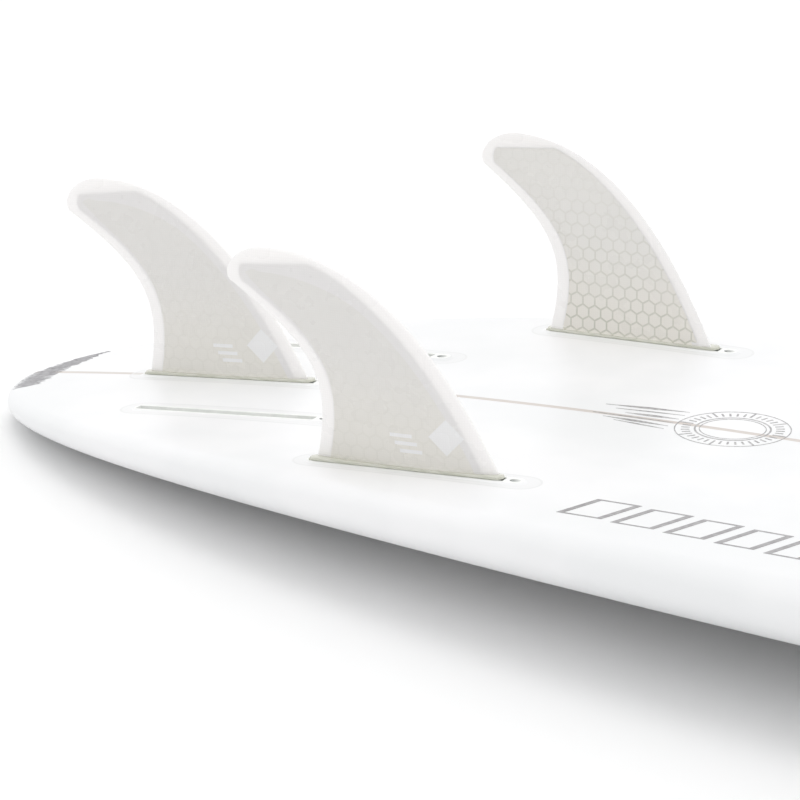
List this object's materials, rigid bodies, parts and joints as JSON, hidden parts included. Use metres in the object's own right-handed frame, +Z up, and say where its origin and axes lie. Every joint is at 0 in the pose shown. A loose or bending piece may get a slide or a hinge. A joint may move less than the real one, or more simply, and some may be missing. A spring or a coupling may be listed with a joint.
{
  "type": "surfboard",
  "caption": "Shortboard surfboard lying deck down, with removable honeycomb side and centre fins, spare rear fin boxes, a wooden stringer and a leash cup.",
  "frame": {"origin": "mid length on the stringer's line, at the height of the surface that the board lies on, deck down", "axes": "+X from tail to nose, +Y towards the right rail as seen by a rider standing on the deck, +Z up, out of the bottom on the fin side"},
  "size_m": [1.778, 0.495, 0.1868],
  "materials": {
    "stringer_wood": "satin",
    "foam": "matte",
    "board_glass": "gloss",
    "box_plastic": "satin",
    "screw_steel": "satin",
    "fin_resin_clear": "gloss",
    "fin_glass": "gloss",
    "fin_honeycomb": "matte",
    "fin_inner_glass": "gloss",
    "cup_plastic": "satin",
    "pin_steel": "satin"
  },
  "bodies": {
    "board": {"stringer": "stringer_wood", "foam_core_left": "foam", "foam_core_right": "foam", "bottom_glass": "board_glass", "deck_glass": "board_glass", "box_centre": "box_plastic", "box_left_front": "box_plastic", "box_right_front": "box_plastic", "box_left_rear": "box_plastic", "box_right_rear": "box_plastic", "leash_cup": "cup_plastic", "leash_bar": "pin_steel"},
    "fin_left": {"fin_left_base": "fin_resin_clear", "fin_left_blade": "fin_glass", "fin_left_core": "fin_honeycomb", "fin_left_skin": "fin_inner_glass"},
    "fin_right": {"fin_right_base": "fin_resin_clear", "fin_right_blade": "fin_glass", "fin_right_core": "fin_honeycomb", "fin_right_skin": "fin_inner_glass"},
    "fin_centre": {"fin_centre_base": "fin_resin_clear", "fin_centre_blade": "fin_glass", "fin_centre_core": "fin_honeycomb", "fin_centre_skin": "fin_inner_glass"},
    "screw_centre": {"screw_centre": "screw_steel"},
    "screw_left_front": {"screw_left_front": "screw_steel"},
    "screw_right_front": {"screw_right_front": "screw_steel"},
    "screw_left_rear": {"screw_left_rear": "screw_steel"},
    "screw_right_rear": {"screw_right_rear": "screw_steel"}
  },
  "joints": [
    {"name": "fin_left_lift", "type": "slide", "parent": "board", "child": "fin_left", "axis": [-0.0988, 0.0146, 0.995], "range_m": [0, 0.022]},
    {"name": "fin_right_lift", "type": "slide", "parent": "board", "child": "fin_right", "axis": [-0.0988, -0.0146, 0.995], "range_m": [0, 0.022]},
    {"name": "fin_centre_lift", "type": "slide", "parent": "board", "child": "fin_centre", "axis": [-0.1538, 0, 0.9881], "range_m": [0, 0.022]},
    {"name": "screw_left_front_travel", "type": "slide", "parent": "board", "child": "screw_left_front", "axis": [0.6329, 0.0459, 0.7728], "range_m": [0, 0.017]},
    {"name": "screw_right_front_travel", "type": "slide", "parent": "board", "child": "screw_right_front", "axis": [0.6329, -0.0459, 0.7728], "range_m": [0, 0.017]},
    {"name": "screw_centre_travel", "type": "slide", "parent": "board", "child": "screw_centre", "axis": [0.5899, 0, 0.8075], "range_m": [0, 0.017]},
    {"name": "screw_left_rear_travel", "type": "slide", "parent": "board", "child": "screw_left_rear", "axis": [0.5996, 0.0272, 0.7998], "range_m": [0, 0.012]},
    {"name": "screw_right_rear_travel", "type": "slide", "parent": "board", "child": "screw_right_rear", "axis": [0.5996, -0.0272, 0.7998], "range_m": [0, 0.012]}
  ],
  "couplings": [
    {"joint": "screw_left_front_travel", "follows": "fin_left_lift", "ratio": 0.74},
    {"joint": "screw_right_front_travel", "follows": "fin_right_lift", "ratio": 0.74},
    {"joint": "screw_centre_travel", "follows": "fin_centre_lift", "ratio": 0.74}
  ]
}
